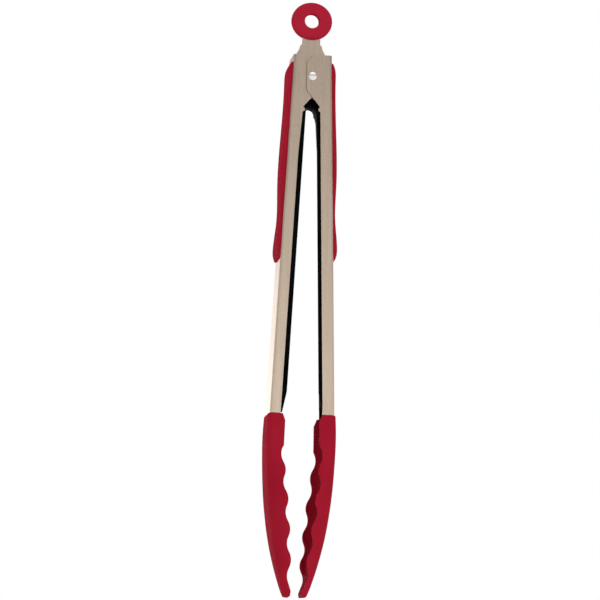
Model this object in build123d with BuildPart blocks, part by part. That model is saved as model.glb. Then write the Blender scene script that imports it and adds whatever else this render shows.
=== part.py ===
"""Spring loaded kitchen tongs with a pull-ring lock, hanging by the ring.

Frame: millimetres, +Z up along the tongs, X across the two arms, Y along the pivot rivet.
The origin is the centre of the hanging hole in the pull ring. Both arms are the same part, the
left one being the right one turned half a turn about Z, so one flange of each arm nests inside
the other arm's flange at the pivot. The arms are modelled as the lock holds them, nearly closed.
"""

import os
from math import cos, radians, sin

from build123d import *

# Overall layout
PIVOT_DROP = 33.7  # pivot rivet below the centre of the hanging hole
ARM_TILT = 2.1  # each locked arm from the tongs' axis, degrees
ARM_TOP = 12.1  # top of each arm above the pivot
ARM_END = 205.0  # lower end of the steel, inside the head
HEAD_TOP = 191.4  # where the silicone head begins, below the pivot
HEAD_END = 291.5  # the tip

# Steel channel of an arm, measured in the arm's own frame with the pivot at (0, 0)
SHEET = 0.8
WEB_X = 11.1  # outer face of the web
BEND_RADIUS = 1.5
OUTER_FLANGE_Y = -10.2  # outer face of the flange that laps over the other arm
INNER_FLANGE_Y = 9.3  # outer face of the flange that nests inside the other arm
OUTER_FLANGE_X = 4.2  # free edge of the outer flange
INNER_FLANGE_X = 5.1  # free edge of the inner flange
BEND_DEPTH = 2.6  # how far the web and its two bends reach in from the web's outer face
CHANNEL_Y = (OUTER_FLANGE_Y + INNER_FLANGE_Y) / 2
CHANNEL_WIDTH = INNER_FLANGE_Y - OUTER_FLANGE_Y

# Pivot
PIN_RADIUS = 1.5
PIN_CLEARANCE = 0.05
RIVET_HEAD_RADIUS = 2.3
RIVET_HEAD_HEIGHT = 1.1
BUSH_RADIUS = 2.5
WASHER_RADIUS = 3.6
WASHER_THICKNESS = 0.5
WASHER_Y = 8.45  # outer face of each washer, just inside the nested flanges

# Lock plate and ring
PLATE_THICKNESS = 1.2
PLATE_NECK = 5.1  # half width of the neck
PLATE_SHOULDER = 20.9  # lower end of the neck
PLATE_FOOT = 9.97  # half width of the foot, a shade less than half the distance between the webs
PLATE_TOE = 4.2  # half width of the bottom edge
PLATE_BOTTOM = -4.4
SLOT_LOW = -0.45
SLOT_HIGH = 7.1
RING_WIDTH = 23.1
RING_HEIGHT = 21.5
RING_THICKNESS = 5.0
RING_EDGE = 1.9
HANG_RADIUS = 4.1
HANG_EDGE = 0.8
PLATE_EYE_OUTER = 8.4
PLATE_EYE_INNER = 5.7

# Grip, liner and spring
GRIP_TOP = 7.8
GRIP_END = 104.2
GRIP_HALF_WIDTH = 8.2
GRIP_EDGE = 0.8
STUD_DEPTHS = (14.0, 50.0, 86.0)
STUD_RADIUS = 1.5
STUD_HEAD_RADIUS = 2.6
STUD_HEAD_HEIGHT = 0.7
STUD_BITE = 1.2  # how far a stud reaches into the grip
LINER_FRONT_X = 2.3  # free edge of the liner's front rib, proud of the flange
LINER_BACK_X = 5.2  # free edge of its back rib, inside the flange
LINER_WALL = 1.3
LINER_GAP = 0.05
LINER_TOP = 19.2
LINER_TAPER = 179.0
LINER_END = 190.6
SPRING_HALF_WIDTH = 6.0
SPRING_TOP = -12.5  # top of the hairpin's bend
SPRING_TOP_WALL = 3.8
SPRING_LEG_WALL = 1.4
SPRING_END = -36.0
SPRING_END_X = 8.7

# Head
HEAD_RIM = 2.6  # thickness of the silicone side walls
HEAD_BACK = 4.5  # thickness of the silicone behind the hollow
RIM_STRAIGHT_X = 2.4  # rim of the head above the scallops
RIM_STRAIGHT_END = 209.4
RIM_TOP_X = 4.0  # rim at the very top, above a short slanted corner
RIM_TOP_CORNER = 4.0  # height of that corner
SCALLOP_FIRST = 214.4
SCALLOP_PITCH = 16.6
SCALLOP_COUNT = 5
SCALLOP_HALF_DEPTH = 1.8
SCALLOP_RADIUS = 9.0
CORE_THICKNESS = 1.2
CORE_HALF_WIDTH = 5.0
CORE_TOP = 193.0
CORE_RIVET_DEPTHS = (196.0, 202.0)
CORE_RIVET_RADIUS = 1.3
CORE_RIVET_HEAD = 2.0
CORE_RIVET_HEAD_HEIGHT = 0.5

# Stations of the head, each (distance below the pivot, back, half width, corner radius)
HEAD_STATIONS = (
    (HEAD_TOP, 11.8, 10.9, 3.4),
    (198.0, 11.9, 11.3, 3.6),
    (208.0, 11.7, 12.6, 4.8),
    (220.0, 10.9, 15.2, 7.5),
    (234.0, 9.5, 18.0, 10.0),
    (248.0, 7.5, 18.6, 11.0),
    (262.0, 4.8, 16.6, 10.0),
    (275.0, 1.4, 12.9, 8.0),
    (285.0, -1.8, 9.0, 5.6),
    (HEAD_END, -4.4, 4.8, 2.9),
)
# Front face of the tongue inside the head, each (x, distance below the pivot)
CORE_BEND = ((9.1, 206.0), (7.9, 220.0), (6.4, 234.0), (4.5, 248.0), (1.8, 262.0), (-1.6, 275.0))

# Planes of the right arm: FRONT is the arm seen along +Y, with x outward and y up the arm.
FRONT = Plane(
    origin=(0, 0, -PIVOT_DROP),
    x_dir=(cos(radians(ARM_TILT)), 0, sin(radians(ARM_TILT))),
    z_dir=(0, -1, 0),
)
CENTRE = Plane(origin=(0, 0, -PIVOT_DROP), x_dir=(1, 0, 0), z_dir=(0, -1, 0))


def section(depth):
    """Plane across the right arm at a distance below the pivot, x outward and y along +Y."""
    origin = FRONT.from_local_coords((0, -depth, 0))
    return Plane(origin=origin, x_dir=FRONT.x_dir, z_dir=FRONT.y_dir)


def facing_web(depth, x):
    """Plane parallel to the right arm's web, at a depth below the pivot, its normal outward."""
    origin = FRONT.from_local_coords((x, -depth, 0)) + Vector(0, CHANNEL_Y, 0)
    return Plane(origin=origin, x_dir=(0, 1, 0), z_dir=FRONT.x_dir)


def rim_x(depth):
    """Middle line of the scalloped rim, a straight slope that levels off towards the tip."""
    return 2.4 - 0.134 * (depth - 220.0) + 0.006 * max(0.0, depth - 276.0) ** 2


def flange_outline(edge_x):
    """Outline of one flange with its pivot ear, its V and the small nib under it."""
    return [
        (WEB_X - BEND_RADIUS, ARM_TOP),
        (0.5, ARM_TOP),
        (-3.1, 8.3),
        (-3.5, -7.4),
        (-0.6, -11.7),
        (4.1, -17.6),
        (3.1, -18.6),
        (3.1, -19.8),
        (4.2, -20.4),
        (edge_x, -44.0),
        (edge_x, -ARM_END),
        (WEB_X - BEND_RADIUS, -ARM_END),
    ]


def write(builder, name):
    """Label a finished piece and write its STEP file."""
    builder.part.label = name
    export_step(builder.part, f"parts/{name}.step")


def write_pair(builder, name):
    """Write a piece of the right arm, and the same piece turned half a turn for the left arm."""
    with BuildPart() as left:
        add(builder.part, rotation=(0, 0, 180))
    write(builder, f"right_{name}")
    write(left, f"left_{name}")


os.makedirs("parts", exist_ok=True)

# Arm: a bent channel with two flat ears at the pivot
with BuildPart() as arm:
    with BuildSketch(section(-ARM_TOP)):
        with Locations((WEB_X - BEND_DEPTH / 2, CHANNEL_Y)):
            Rectangle(BEND_DEPTH, CHANNEL_WIDTH)
        fillet(vertices().group_by(Axis.X)[-1], BEND_RADIUS)
        with Locations((WEB_X - SHEET - BEND_DEPTH / 2, CHANNEL_Y)):
            RectangleRounded(BEND_DEPTH, CHANNEL_WIDTH - 2 * SHEET, BEND_RADIUS - SHEET, mode=Mode.SUBTRACT)
        with Locations((WEB_X - BEND_DEPTH, CHANNEL_Y)):
            Rectangle(BEND_DEPTH, CHANNEL_WIDTH - 2 * SHEET, mode=Mode.SUBTRACT)
    extrude(amount=-(ARM_TOP + ARM_END))
    for edge_x, outer_y, way in ((OUTER_FLANGE_X, OUTER_FLANGE_Y, -1), (INNER_FLANGE_X, INNER_FLANGE_Y, 1)):
        with BuildSketch(FRONT.offset(-outer_y)):
            with BuildLine():
                Polyline(flange_outline(edge_x), close=True)
            make_face()
            fillet(vertices().group_by(Axis.X)[0], 0.6)
        extrude(amount=way * SHEET)
    with BuildSketch(FRONT):
        Circle(PIN_RADIUS + PIN_CLEARANCE)
    extrude(amount=2 * CHANNEL_WIDTH, both=True, mode=Mode.SUBTRACT)
    for depth in STUD_DEPTHS:
        with BuildSketch(facing_web(depth, WEB_X)):
            Circle(STUD_RADIUS)
        extrude(amount=-2 * SHEET, mode=Mode.SUBTRACT)
    for depth in CORE_RIVET_DEPTHS:
        with BuildSketch(facing_web(depth, WEB_X)):
            Circle(CORE_RIVET_RADIUS)
        extrude(amount=-2 * SHEET, mode=Mode.SUBTRACT)
write_pair(arm, "arm")

# Grip: a soft pad down the outside of the web, waisted near its lower end
with BuildPart() as grip:
    with BuildSketch(FRONT.offset(-CHANNEL_Y - GRIP_HALF_WIDTH)):
        with BuildLine():
            face = Spline(
                (WEB_X + 0.9, GRIP_TOP),
                (WEB_X + 2.0, GRIP_TOP - 3.0),
                (WEB_X + 2.3, -2.0),
                (WEB_X + 2.3, -30.0),
                (WEB_X + 2.2, -62.0),
                (WEB_X + 1.4, -81.0),
                (WEB_X + 2.3, -96.0),
                (WEB_X + 1.8, -102.0),
                (WEB_X + 0.9, -GRIP_END),
            )
            Polyline(face @ 1, (WEB_X, -GRIP_END), (WEB_X, GRIP_TOP), face @ 0)
        make_face()
    extrude(amount=2 * GRIP_HALF_WIDTH)
    long_edges = faces().sort_by(Axis.X)[-1].edges().filter_by(GeomType.LINE, reverse=True)
    fillet(long_edges, GRIP_EDGE)
    for depth in STUD_DEPTHS:
        with BuildSketch(facing_web(depth, WEB_X)):
            Circle(STUD_RADIUS)
        extrude(amount=STUD_BITE, mode=Mode.SUBTRACT)
write_pair(grip, "grip")

# Liners: channels of black nylon inside the steel ones, each with its front rib proud of the flange
for side, front, turn in (("right", -1, 0), ("left", 1, 180)):
    with BuildPart() as liner:
        with BuildSketch(FRONT):
            with BuildLine():
                Polyline(
                    (WEB_X - SHEET, -LINER_TOP),
                    (LINER_FRONT_X, -LINER_TOP),
                    (LINER_FRONT_X, -LINER_TAPER),
                    (OUTER_FLANGE_X, -LINER_END),
                    (WEB_X - SHEET, -LINER_END),
                    close=True,
                )
            make_face()
        extrude(amount=CHANNEL_WIDTH, both=True)
        with BuildSketch(section(LINER_TOP)):
            inside = CHANNEL_WIDTH - 2 * (SHEET + LINER_GAP)
            with Locations((0, CHANNEL_Y)):
                RectangleRounded(2 * (WEB_X - SHEET), inside, BEND_RADIUS - SHEET)
                Rectangle(2 * (WEB_X - SHEET - LINER_WALL), inside - 2 * LINER_WALL, mode=Mode.SUBTRACT)
        extrude(amount=-LINER_END, mode=Mode.INTERSECT)
        with BuildSketch(section(LINER_TOP)):
            with Locations((0, CHANNEL_Y - front * CHANNEL_WIDTH / 2)):
                Rectangle(2 * LINER_BACK_X, CHANNEL_WIDTH)
        extrude(amount=-LINER_END, mode=Mode.SUBTRACT)
        for depth in STUD_DEPTHS[1:]:
            with BuildSketch(facing_web(depth, WEB_X)):
                Circle(STUD_RADIUS)
            extrude(amount=-BEND_DEPTH, mode=Mode.SUBTRACT)
    with BuildPart() as turned:
        add(liner.part, rotation=(0, 0, turn))
    write(turned, f"{side}_liner")

# Studs: three push studs that pin each grip to its web, two of them through the liner as well
with BuildPart() as studs:
    for depth in STUD_DEPTHS:
        seat_x = WEB_X - SHEET
        if depth > LINER_TOP:
            seat_x -= LINER_WALL
        with BuildSketch(facing_web(depth, seat_x)):
            Circle(STUD_HEAD_RADIUS)
        extrude(amount=-STUD_HEAD_HEIGHT)
        with BuildSketch(facing_web(depth, seat_x)):
            Circle(STUD_RADIUS)
        extrude(amount=WEB_X + STUD_BITE - seat_x)
    fillet(edges().filter_by(GeomType.CIRCLE).group_by(SortBy.RADIUS)[-1].group_by(Axis.X)[0], 0.3)
write_pair(studs, "grip_studs")

# Head core: a steel tongue riveted inside the web, curving down the back of the silicone head
with BuildPart() as core:
    inner_x = WEB_X - SHEET - CORE_THICKNESS
    with BuildSketch(FRONT.offset(-CHANNEL_Y - CORE_HALF_WIDTH)):
        with BuildLine():
            ends = ((0, -1), (-0.26, -1))
            front = Spline(*[(x, -depth) for x, depth in CORE_BEND], tangents=ends)
            back = Spline(*[(x + CORE_THICKNESS, -depth) for x, depth in CORE_BEND], tangents=ends)
            Polyline(front @ 0, (inner_x, -CORE_TOP), (inner_x + CORE_THICKNESS, -CORE_TOP), back @ 0)
            Line(front @ 1, back @ 1)
        make_face()
    extrude(amount=2 * CORE_HALF_WIDTH)
    for depth in CORE_RIVET_DEPTHS:
        with BuildSketch(facing_web(depth, WEB_X)):
            Circle(CORE_RIVET_RADIUS)
        extrude(amount=-2 * BEND_DEPTH, mode=Mode.SUBTRACT)
write_pair(core, "head_core")

# Core rivets: two small rivets through the web and the tongue
with BuildPart() as core_rivets:
    for depth in CORE_RIVET_DEPTHS:
        with BuildSketch(facing_web(depth, WEB_X)):
            Circle(CORE_RIVET_RADIUS)
        extrude(amount=-(SHEET + CORE_THICKNESS))
        inner_head = WEB_X - SHEET - CORE_THICKNESS - CORE_RIVET_HEAD_HEIGHT
        with BuildSketch(facing_web(depth, WEB_X), facing_web(depth, inner_head)):
            Circle(CORE_RIVET_HEAD)
        extrude(amount=CORE_RIVET_HEAD_HEIGHT)
write_pair(core_rivets, "head_rivets")

# Head: a silicone scoop moulded round the end of the arm, open towards the other head
with BuildPart() as head:
    for depth, back, half, corner in HEAD_STATIONS:
        mouth = rim_x(depth) - 5.0
        with BuildSketch(section(depth)) as station:
            with Locations(((back + mouth) / 2, CHANNEL_Y)):
                Rectangle(back - mouth, 2 * half)
            fillet(vertices().group_by(Axis.X)[-1], corner)
    loft()
    fillet(edges().group_by(Axis.Z)[-1], 0.9)
with BuildPart() as hollow:
    for depth, back, half, corner in HEAD_STATIONS[:-1]:
        mouth = rim_x(depth) - 8.0
        floor = back - HEAD_BACK
        with BuildSketch(section(depth)):
            with Locations(((floor + mouth) / 2, CHANNEL_Y)):
                Rectangle(floor - mouth, 2 * (half - HEAD_RIM))
            fillet(vertices().group_by(Axis.X)[-1], corner * 0.75)
    loft()
with BuildPart() as rim_cut:
    with BuildSketch(FRONT):
        with BuildLine():
            waves = [(RIM_STRAIGHT_X, -RIM_STRAIGHT_END)]
            for number in range(SCALLOP_COUNT):
                notch = SCALLOP_FIRST + number * SCALLOP_PITCH
                crest = notch + SCALLOP_PITCH / 2
                waves.append((rim_x(notch) + SCALLOP_HALF_DEPTH, -notch))
                waves.append((rim_x(crest) - SCALLOP_HALF_DEPTH, -crest))
            wave = FilletPolyline(*waves, radius=SCALLOP_RADIUS)
            Polyline(
                wave @ 1,
                (rim_x(HEAD_END) - SCALLOP_HALF_DEPTH, -HEAD_END - 5.0),
                (-40.0, -HEAD_END - 5.0),
                (-40.0, -HEAD_TOP + 5.0),
                (RIM_TOP_X, -HEAD_TOP + 5.0),
                (RIM_TOP_X, -HEAD_TOP),
                (RIM_STRAIGHT_X, -HEAD_TOP - RIM_TOP_CORNER),
                wave @ 0,
            )
        make_face()
    extrude(amount=60.0, both=True)
with BuildPart() as scoop:
    add(head)
    add(hollow, mode=Mode.SUBTRACT)
    add(rim_cut, mode=Mode.SUBTRACT)
    add(arm, mode=Mode.SUBTRACT)
    add(core, mode=Mode.SUBTRACT)
    add(core_rivets, mode=Mode.SUBTRACT)
write_pair(scoop, "head")

# Pivot rivet: a shank with a domed head turned on each end
with BuildPart() as pivot_rivet:
    seat = -OUTER_FLANGE_Y
    crest = seat + RIVET_HEAD_HEIGHT
    with BuildSketch(CENTRE.offset(-seat - 0.3)):
        Circle(PIN_RADIUS)
    extrude(amount=2 * (seat + 0.3))
    for way in (1, -1):
        with BuildSketch(Plane.YZ.shift_origin((0, 0, -PIVOT_DROP))):
            with BuildLine():
                dome = TangentArc(
                    (way * crest, 0), (way * (seat + 0.3), RIVET_HEAD_RADIUS), tangent=(0, 1)
                )
                Polyline(dome @ 1, (way * seat, RIVET_HEAD_RADIUS), (way * seat, 0), dome @ 0)
            make_face()
        revolve(axis=Axis((0, 0, -PIVOT_DROP), (0, 1, 0)))
write(pivot_rivet, "pivot_rivet")

# Washers and bushes that keep the lock plate in the middle of the rivet
for name, way in (("front", 1), ("back", -1)):
    with BuildPart() as washer:
        with BuildSketch(CENTRE.offset(way * WASHER_Y)):
            Circle(WASHER_RADIUS)
            Circle(PIN_RADIUS + PIN_CLEARANCE, mode=Mode.SUBTRACT)
        extrude(amount=-way * WASHER_THICKNESS)
    write(washer, f"pivot_washer_{name}")
    with BuildPart() as bush:
        with BuildSketch(CENTRE.offset(way * (WASHER_Y - WASHER_THICKNESS))):
            Circle(BUSH_RADIUS)
            Circle(PIN_RADIUS + PIN_CLEARANCE, mode=Mode.SUBTRACT)
        extrude(amount=-way * (WASHER_Y - WASHER_THICKNESS - PLATE_THICKNESS / 2 - 0.15))
    write(bush, f"pivot_bush_{name}")

# Lock plate: its broad foot holds the webs apart above the rivet while the ring is pulled out
with BuildPart() as lock_plate:
    with BuildSketch(CENTRE.offset(-PLATE_THICKNESS / 2)):
        with BuildLine():
            flare = Spline(
                (PLATE_NECK, PLATE_SHOULDER),
                (5.9, 19.7),
                (6.5, 17.8),
                (7.3, 16.3),
                (7.85, 15.2),
                (8.35, 13.5),
                (8.85, 11.5),
                tangents=((0, -1), (0, -1)),
            )
            foot = Polyline(
                flare @ 1,
                (9.65, 7.0),
                (PLATE_FOOT, 5.0),
                (PLATE_FOOT, 3.2),
                (5.6, -2.6),
                (PLATE_TOE, PLATE_BOTTOM),
            )
            Polyline(foot @ 1, (0, PLATE_BOTTOM), (0, PIVOT_DROP), (PLATE_NECK, PIVOT_DROP), flare @ 0)
        make_face()
        mirror(about=Plane.YZ)
        fillet(vertices().group_by(Axis.Y)[0], 1.2)
        with Locations((0, PIVOT_DROP)):
            Circle(PLATE_EYE_OUTER)
            Circle(PLATE_EYE_INNER, mode=Mode.SUBTRACT)
        with Locations((0, (SLOT_LOW + SLOT_HIGH) / 2)):
            slot_radius = PIN_RADIUS + PIN_CLEARANCE
            SlotCenterToCenter(SLOT_HIGH - SLOT_LOW, 2 * slot_radius, rotation=90, mode=Mode.SUBTRACT)
    extrude(amount=PLATE_THICKNESS)
write(lock_plate, "lock_plate")

# Pull ring: silicone moulded round the eye of the lock plate, with the hanging hole through it
with BuildPart() as pull_ring:
    with BuildSketch(Plane.XZ.offset(-RING_THICKNESS / 2)):
        Ellipse(RING_WIDTH / 2, RING_HEIGHT / 2)
    extrude(amount=RING_THICKNESS)
    fillet(edges(), RING_EDGE)
    with BuildSketch(Plane.XZ):
        Circle(HANG_RADIUS)
    extrude(amount=RING_THICKNESS, both=True, mode=Mode.SUBTRACT)
    fillet(edges().filter_by(GeomType.CIRCLE), HANG_EDGE)
    add(lock_plate, mode=Mode.SUBTRACT)
write(pull_ring, "pull_ring")

# Spring: a broad black hairpin under the rivet, its legs inside the two liners
with BuildPart() as u_spring:
    with BuildSketch(CENTRE.offset(-SPRING_HALF_WIDTH)):
        with BuildLine():
            crown = Spline(
                (0, SPRING_TOP),
                (4.0, SPRING_TOP - 0.7),
                (6.9, SPRING_TOP - 3.9),
                (8.1, SPRING_TOP - 9.0),
                (SPRING_END_X, SPRING_END),
                tangents=((1, 0), (0, -1)),
            )
            Line(crown @ 1, (SPRING_END_X - SPRING_LEG_WALL, SPRING_END))
            arch = Spline(
                (SPRING_END_X - SPRING_LEG_WALL, SPRING_END),
                (5.0, SPRING_TOP - 12.5),
                (3.5, SPRING_TOP - 7.4),
                (0, SPRING_TOP - SPRING_TOP_WALL),
                tangents=((-0.1, 1), (-1, 0)),
            )
            Line(arch @ 1, crown @ 0)
        make_face()
        mirror(about=Plane.YZ)
    extrude(amount=2 * SPRING_HALF_WIDTH)
write(u_spring, "u_spring")
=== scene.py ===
"""Looks of the spring loaded kitchen tongs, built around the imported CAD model."""

import math

import bmesh
import bpy
from mathutils import Matrix, Vector


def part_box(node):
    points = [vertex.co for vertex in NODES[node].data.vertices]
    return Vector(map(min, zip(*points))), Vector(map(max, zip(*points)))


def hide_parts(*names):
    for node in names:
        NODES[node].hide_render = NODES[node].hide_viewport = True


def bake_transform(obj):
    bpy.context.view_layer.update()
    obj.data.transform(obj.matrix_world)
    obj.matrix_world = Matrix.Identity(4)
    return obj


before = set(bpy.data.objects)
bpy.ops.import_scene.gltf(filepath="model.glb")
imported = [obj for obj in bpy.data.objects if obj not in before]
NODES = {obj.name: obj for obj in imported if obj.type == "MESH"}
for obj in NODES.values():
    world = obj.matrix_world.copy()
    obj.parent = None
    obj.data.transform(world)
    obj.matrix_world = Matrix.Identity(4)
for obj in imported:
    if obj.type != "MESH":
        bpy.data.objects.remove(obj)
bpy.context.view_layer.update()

SIDES = ("left", "right")

# Camera, at the product shot's angle: slightly left of the front and slightly below
AZIMUTH = math.radians(-8.5)
ELEVATION = math.radians(-10.0)
ROLL = math.radians(1.75)
DISTANCE = 2.5
VIEW_HEIGHT = 0.3378  # height of the view at the tongs' distance, metres
SENSOR = 36.0
HOLE_SHIFT = (0.0066, 0.1567)  # the hanging hole, right of and above the view's middle, metres

# Floor
FLOOR_Z = -1.0
FLOOR_REACH = 40.0
FLOOR_COLOUR = (0.92, 0.92, 0.92)
FLOOR_ROUGHNESS = 0.7

# Surround: its strength at two values of the direction's Y or Z, and below them those two values
SURROUND_DEPTH = (0.95, 1.7)  # in front of the tongs, and behind them
SURROUND_DEPTH_AT = (0.3, 0.9)
SURROUND_HEIGHT = (2.15, 0.05)  # near eye level, and above it
SURROUND_HEIGHT_AT = (0.08, 0.27)
SURROUND_TOP = (0.0, 1.7)  # higher up, and overhead
SURROUND_TOP_AT = (0.4, 0.8)

# Lights: place, size and power, all aimed at one point of the tongs
LIGHT_AIM = (0.0, 0.0, -0.16)
LIGHTS = {
    "key": ((-1.1, -1.6, 0.9), 1.2, 5.0),
    "fill": ((1.3, -1.4, 0.1), 1.4, 6.0),
    "low": ((0.2, -1.2, -1.0), 1.0, 2.0),
}


# ---------------------------------------------------------------- node helpers
def node_adder(tree):
    """A function that adds a node to a tree, with its inputs linked or set."""

    def add(kind, inputs=(), **settings):
        node = tree.nodes.new(kind)
        for key, value in settings.items():
            setattr(node, key, value)
        for socket, value in dict(inputs).items():
            if isinstance(value, bpy.types.NodeSocket):
                tree.links.new(value, node.inputs[socket])
            else:
                node.inputs[socket].default_value = value
        return node

    return add


def new_material(name):
    """A node material, its principled shader, and a function that adds nodes to it."""
    material = bpy.data.materials.new(name)
    material.use_nodes = True
    return material, material.node_tree.nodes["Principled BSDF"], node_adder(material.node_tree)


def feed(node, socket, output):
    """Link an output into one of a node's sockets."""
    node.id_data.links.new(output, node.inputs[socket])


def ramp(add, source, low, high):
    """A colour ramp between two (position, colour) stops."""
    node = add("ShaderNodeValToRGB", {"Fac": source})
    for element, (position, colour) in zip(node.color_ramp.elements, (low, high)):
        element.position = position
        element.color = (*colour, 1.0)
    return node.outputs["Color"]


def span(add, source, old, new):
    """source mapped from one (low, high) range of values to another."""
    inputs = {"Value": source, "From Min": old[0], "From Max": old[1], "To Min": new[0], "To Max": new[1]}
    return add("ShaderNodeMapRange", inputs).outputs["Result"]


def object_coordinates(add, scale=(1.0, 1.0, 1.0)):
    """Object coordinates, which for a CAD node are its place in the model, scaled axis by axis."""
    coordinates = add("ShaderNodeTexCoord").outputs["Object"]
    return add("ShaderNodeMapping", {"Vector": coordinates, "Scale": scale}).outputs["Vector"]


def noise(add, where, scale, detail):
    """Noise over the given coordinates."""
    return add("ShaderNodeTexNoise", {"Vector": where, "Scale": scale, "Detail": detail}).outputs["Fac"]


def emboss(add, shader, height, strength, depth):
    """Bump the surface by a height."""
    bump = add("ShaderNodeBump", {"Height": height, "Strength": strength, "Distance": depth})
    feed(shader, "Normal", bump.outputs["Normal"])


# ---------------------------------------------------------------- materials
NOISE_RANGE = (0.3, 0.7)  # where most of a noise's values lie
DULL_SPECULAR = 0.002  # silicone and nylon show almost no highlight
ALONG_Y, ALONG_Z = 1, 2
PAINTED_SHADE_REACH = 0.0011  # how far the painted shade reaches out of a crevice, metres
PAINTED_SHADE_SAMPLES = 12
# colour of the deepest painted shade, multiplied into the steel where ambient occlusion finds a crevice
PAINTED_SHADE_DARK = (0.1, 0.08, 0.07)
MIX_A, MIX_B, MIX_COLOUR = 6, 7, 2  # the colour sockets of a Mix node
WHITE = (1.0, 1.0, 1.0)

RED = (0.335, 0.0105, 0.026)
RED_DEEP = (0.30, 0.0085, 0.022)
RING_RED = (0.385, 0.0155, 0.036)
RING_RED_DEEP = (0.355, 0.013, 0.031)
STEEL = (0.70, 0.565, 0.45)
STEEL_STREAK = (0.63, 0.50, 0.39)
BRIGHT_STEEL = (0.86, 0.85, 0.83)
BLACK_DEEP = (0.001, 0.0015, 0.002)
BLACK = (0.003, 0.0035, 0.004)


def silicone(name, base, deep):
    """Matt moulded silicone: a fine grain and a slow variation of its colour."""
    material, shader, add = new_material(name)
    where = object_coordinates(add)
    slow = noise(add, where, scale=45.0, detail=3.0)
    grain = noise(add, where, scale=2600.0, detail=4.0)
    feed(shader, "Base Color", ramp(add, slow, (0.35, deep), (0.65, base)))
    feed(shader, "Roughness", span(add, grain, NOISE_RANGE, (0.55, 0.7)))
    emboss(add, shader, grain, strength=0.12, depth=0.00012)
    shader.inputs["Specular IOR Level"].default_value = DULL_SPECULAR
    return material


def brushed(add, along, across, lengthways, detail):
    """Noise drawn out along one axis, from its scales across that axis and along it."""
    scale = [across] * 3
    scale[along] = lengthways
    return noise(add, object_coordinates(add, scale), scale=1.0, detail=detail)


def brushed_steel(name, along, roughness):
    """Brushed stainless sheet, with its grain along one axis and painted shade in its crevices."""
    material, shader, add = new_material(name)
    fine = brushed(add, along, across=5200.0, lengthways=60.0, detail=5.0)
    broad = brushed(add, along, across=900.0, lengthways=12.0, detail=3.0)
    smudge = noise(add, object_coordinates(add), scale=30.0, detail=4.0)

    colour = ramp(add, broad, (0.3, STEEL_STREAK), (0.7, STEEL))
    # painted shade: ambient occlusion darkens the steel's base colour in crevices and where parts meet
    reach = {"Distance": PAINTED_SHADE_REACH}
    occlusion = add("ShaderNodeAmbientOcclusion", reach, samples=PAINTED_SHADE_SAMPLES).outputs["AO"]
    painted_shade = ramp(add, occlusion, (0.25, PAINTED_SHADE_DARK), (0.8, WHITE))
    both = {"Factor": 1.0, MIX_A: colour, MIX_B: painted_shade}
    shaded = add("ShaderNodeMix", both, data_type="RGBA", blend_type="MULTIPLY")
    feed(shader, "Base Color", shaded.outputs[MIX_COLOUR])

    worn = add("ShaderNodeMath", {0: fine, 1: smudge}, operation="ADD").outputs[0]
    level = span(add, worn, (0.7, 1.3), (roughness - 0.06, roughness + 0.08))
    feed(shader, "Roughness", level)
    emboss(add, shader, fine, strength=0.1, depth=0.00004)
    shader.inputs["Metallic"].default_value = 1.0
    shader.inputs["Anisotropic"].default_value = 0.4
    return material


def polished_steel(name):
    """The rivet's bright steel, lightly scratched."""
    material, shader, add = new_material(name)
    scratches = noise(add, object_coordinates(add, (900, 900, 4000)), scale=1.0, detail=2.0)
    feed(shader, "Roughness", span(add, scratches, NOISE_RANGE, (0.34, 0.44)))
    emboss(add, shader, scratches, strength=0.02, depth=0.00002)
    shader.inputs["Base Color"].default_value = (*BRIGHT_STEEL, 1.0)
    shader.inputs["Metallic"].default_value = 1.0
    return material


def black_nylon(name):
    """Satin black nylon with a faint moulded texture."""
    material, shader, add = new_material(name)
    grain = noise(add, object_coordinates(add), scale=1800.0, detail=3.0)
    slow = noise(add, object_coordinates(add), scale=60.0, detail=2.0)
    feed(shader, "Base Color", ramp(add, slow, (0.3, BLACK_DEEP), (0.7, BLACK)))
    feed(shader, "Roughness", span(add, grain, NOISE_RANGE, (0.4, 0.55)))
    emboss(add, shader, grain, strength=0.15, depth=0.00008)
    shader.inputs["Specular IOR Level"].default_value = DULL_SPECULAR
    return material


def paint(node, material):
    """Give a CAD node one material."""
    slots = NODES[node].material_slots
    if not slots:
        NODES[node].data.materials.append(material)
    for slot in slots:
        slot.material = material


head_silicone = silicone("head_silicone", RED, RED_DEEP)
grip_silicone = silicone("grip_silicone", RED, RED_DEEP)
ring_silicone = silicone("ring_silicone", RING_RED, RING_RED_DEEP)
arm_steel = brushed_steel("arm_steel", ALONG_Z, roughness=0.3)
plate_steel = brushed_steel("plate_steel", ALONG_Z, roughness=0.34)
hidden_steel = brushed_steel("hidden_steel", ALONG_Y, roughness=0.4)
rivet_steel = polished_steel("rivet_steel")
nylon = black_nylon("black_nylon")

for side in SIDES:
    paint(f"{side}_arm", arm_steel)
    paint(f"{side}_grip", grip_silicone)
    paint(f"{side}_head", head_silicone)
    paint(f"{side}_liner", nylon)
    paint(f"{side}_grip_studs", nylon)
    paint(f"{side}_head_core", hidden_steel)
    paint(f"{side}_head_rivets", hidden_steel)
for end in ("front", "back"):
    paint(f"pivot_washer_{end}", hidden_steel)
    paint(f"pivot_bush_{end}", hidden_steel)
paint("pull_ring", ring_silicone)
paint("lock_plate", plate_steel)
paint("pivot_rivet", rivet_steel)
paint("u_spring", nylon)


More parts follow.
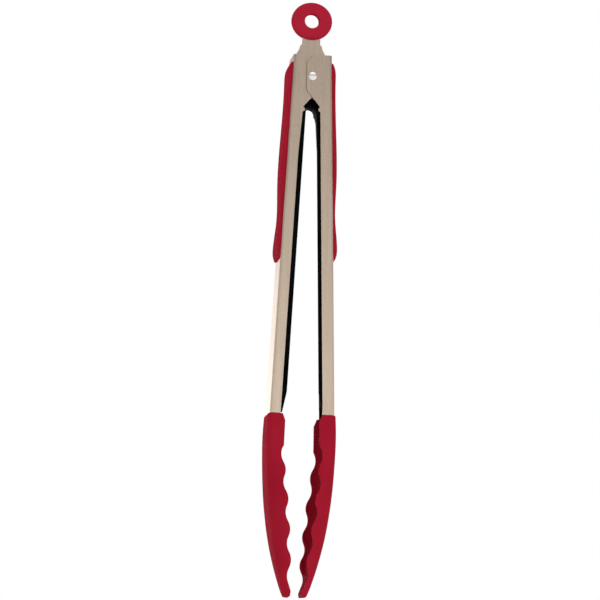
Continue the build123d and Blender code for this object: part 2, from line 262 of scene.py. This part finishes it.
# ---------------------------------------------------------------- spring
# Outline of the hairpin's right half, millimetres from the rivet: outer face, then inner face
SPRING_OUTER = ((0.0, -12.5), (4.0, -13.2), (6.9, -16.4), (8.1, -21.5), (8.55, -28.0), (8.7, -36.0))
SPRING_INNER = ((0.0, -16.3), (2.3, -17.2), (3.5, -19.9), (4.3, -22.6), (5.6, -27.8), (7.3, -36.0))
SPRING_HALF_WIDTH = 6.0
SPRING_ROUNDING = 0.7  # of its long edges
ROUND_INWARD = 0.3  # the middle of a rounded edge, as shares of the rounding
ROUND_ACROSS = 0.7
SPRING_STEPS = 6  # sections between two points of the outline
SPRING_SHARP = math.radians(40)
MM_IN_METRE = 1000
PIVOT_Z = -0.0337


def smooth_line(points):
    """Points along a smooth line through the given ones (Catmull-Rom)."""
    padded = [Vector(point) for point in (points[0], *points, points[-1])]
    line = []
    for before, start, end, after in zip(padded, padded[1:], padded[2:], padded[3:]):
        for step in range(SPRING_STEPS):
            t = step / SPRING_STEPS
            line.append(0.5 * (2 * start + (end - before) * t
                               + (2 * before - 5 * start + 4 * end - after) * t ** 2
                               + (3 * start - before - 3 * end + after) * t ** 3))
    line.append(padded[-1])
    return line


def spring_section(outer, inner):
    """The strip's section between two points of its faces: (point, depth) pairs all round."""
    inward = (inner - outer).normalized() * SPRING_ROUNDING
    flat = SPRING_HALF_WIDTH - SPRING_ROUNDING
    shoulder = flat + SPRING_ROUNDING * ROUND_ACROSS
    one_side = [
        (outer, flat),
        (outer + inward * ROUND_INWARD, shoulder),
        (outer + inward, SPRING_HALF_WIDTH),
        (inner - inward, SPRING_HALF_WIDTH),
        (inner - inward * ROUND_INWARD, shoulder),
        (inner, flat),
    ]
    return one_side + [(point, -depth) for point, depth in reversed(one_side)]


def make_spring_half(side, way):
    """One half of the hairpin, from the middle of its bend to the end of its leg."""
    outline = zip(smooth_line(SPRING_OUTER), smooth_line(SPRING_INNER))
    sections = [spring_section(outer, inner) for outer, inner in outline]
    vertices = [
        (way * point.x / MM_IN_METRE, depth / MM_IN_METRE, PIVOT_Z + point.y / MM_IN_METRE)
        for section in sections for point, depth in section
    ]
    count = len(sections[0])
    last = len(vertices) - count
    faces = [
        (first + i, first + (i + 1) % count, first + count + (i + 1) % count, first + count + i)
        for first in range(0, last, count) for i in range(count)
    ]
    faces += [tuple(range(count)), tuple(range(last, last + count))]
    mesh = bpy.data.meshes.new(f"spring_{side}")
    mesh.from_pydata(vertices, [], faces)
    shape = bmesh.new()
    shape.from_mesh(mesh)
    bmesh.ops.recalc_face_normals(shape, faces=shape.faces)
    shape.to_mesh(mesh)
    shape.free()
    mesh.shade_smooth()
    mesh.set_sharp_from_angle(angle=SPRING_SHARP)
    mesh.materials.append(nylon)
    half = bpy.data.objects.new(f"spring_{side}", mesh)
    bpy.context.scene.collection.objects.link(half)
    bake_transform(half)
    return half


spring_halves = [make_spring_half(side, way) for side, way in (("left", -1), ("right", 1))]
for half in spring_halves:
    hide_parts("u_spring")


# ---------------------------------------------------------------- stage
def make_floor():
    """A pale floor well under the hanging tongs."""
    mesh = bpy.data.meshes.new("floor")
    reach = FLOOR_REACH
    corners = [(-reach, -reach), (reach, -reach), (reach, reach), (-reach, reach)]
    mesh.from_pydata([(x, y, FLOOR_Z) for x, y in corners], [], [(0, 1, 2, 3)])
    floor = bpy.data.objects.new("floor", mesh)
    bpy.context.scene.collection.objects.link(floor)
    material, shader, _ = new_material("floor")
    shader.inputs["Base Color"].default_value = (*FLOOR_COLOUR, 1.0)
    shader.inputs["Roughness"].default_value = FLOOR_ROUGHNESS
    mesh.materials.append(material)


def make_light(name, place, size, power):
    """A soft square light aimed at the tongs, and kept out of the steel's reflections."""
    data = bpy.data.lights.new(name, "AREA")
    data.size = size
    data.energy = power
    light = bpy.data.objects.new(name, data)
    light.location = place
    light.visible_glossy = False
    light.rotation_euler = (Vector(LIGHT_AIM) - Vector(place)).to_track_quat("-Z", "Y").to_euler()
    bpy.context.scene.collection.objects.link(light)


def make_world():
    """A white studio surround to the eye, and a softly graded one for the light it gives."""
    world = bpy.data.worlds.new("studio")
    world.use_nodes = True
    nodes = world.node_tree.nodes
    add = node_adder(world.node_tree)
    plain = nodes["Background"]
    plain.inputs["Color"].default_value = (*WHITE, 1.0)

    direction = add("ShaderNodeTexCoord").outputs["Generated"]
    part = add("ShaderNodeSeparateXYZ", {"Vector": direction}).outputs
    depth = span(add, part["Y"], SURROUND_DEPTH_AT, SURROUND_DEPTH)
    height = span(add, part["Z"], SURROUND_HEIGHT_AT, SURROUND_HEIGHT)
    top = span(add, part["Z"], SURROUND_TOP_AT, SURROUND_TOP)
    around = add("ShaderNodeMath", {0: depth, 1: height}, operation="MULTIPLY").outputs[0]
    strength = add("ShaderNodeMath", {0: around, 1: top}, operation="MAXIMUM").outputs[0]
    graded = add("ShaderNodeBackground", {"Strength": strength})

    seen = add("ShaderNodeLightPath").outputs["Is Camera Ray"]
    mix = add("ShaderNodeMixShader", {0: seen, 1: graded.outputs[0], 2: plain.outputs[0]})
    feed(nodes["World Output"], "Surface", mix.outputs[0])
    bpy.context.scene.world = world


def make_camera():
    """The camera, placed so that the hanging hole and the tips fall where the shot has them."""
    forward = Vector((-math.sin(AZIMUTH) * math.cos(ELEVATION),
                      math.cos(AZIMUTH) * math.cos(ELEVATION),
                      -math.sin(ELEVATION)))
    level_right = Vector((math.cos(AZIMUTH), math.sin(AZIMUTH), 0.0))
    level_up = level_right.cross(forward)
    right = math.cos(ROLL) * level_right + math.sin(ROLL) * level_up
    up = math.cos(ROLL) * level_up - math.sin(ROLL) * level_right
    hole = (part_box("pull_ring")[0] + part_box("pull_ring")[1]) / 2
    middle = hole - HOLE_SHIFT[0] * right - HOLE_SHIFT[1] * up
    place = middle - DISTANCE * forward
    data = bpy.data.cameras.new("camera")
    data.sensor_width = SENSOR
    data.lens = SENSOR * DISTANCE / VIEW_HEIGHT
    camera = bpy.data.objects.new("camera", data)
    rotation = Matrix((right, up, -forward)).transposed().to_4x4()
    camera.matrix_world = Matrix.Translation(place) @ rotation
    bpy.context.scene.collection.objects.link(camera)
    bpy.context.scene.camera = camera


make_floor()
make_world()
for name, (place, size, power) in LIGHTS.items():
    make_light(name, place, size, power)
make_camera()

bpy.context.scene.view_settings.view_transform = "Standard"
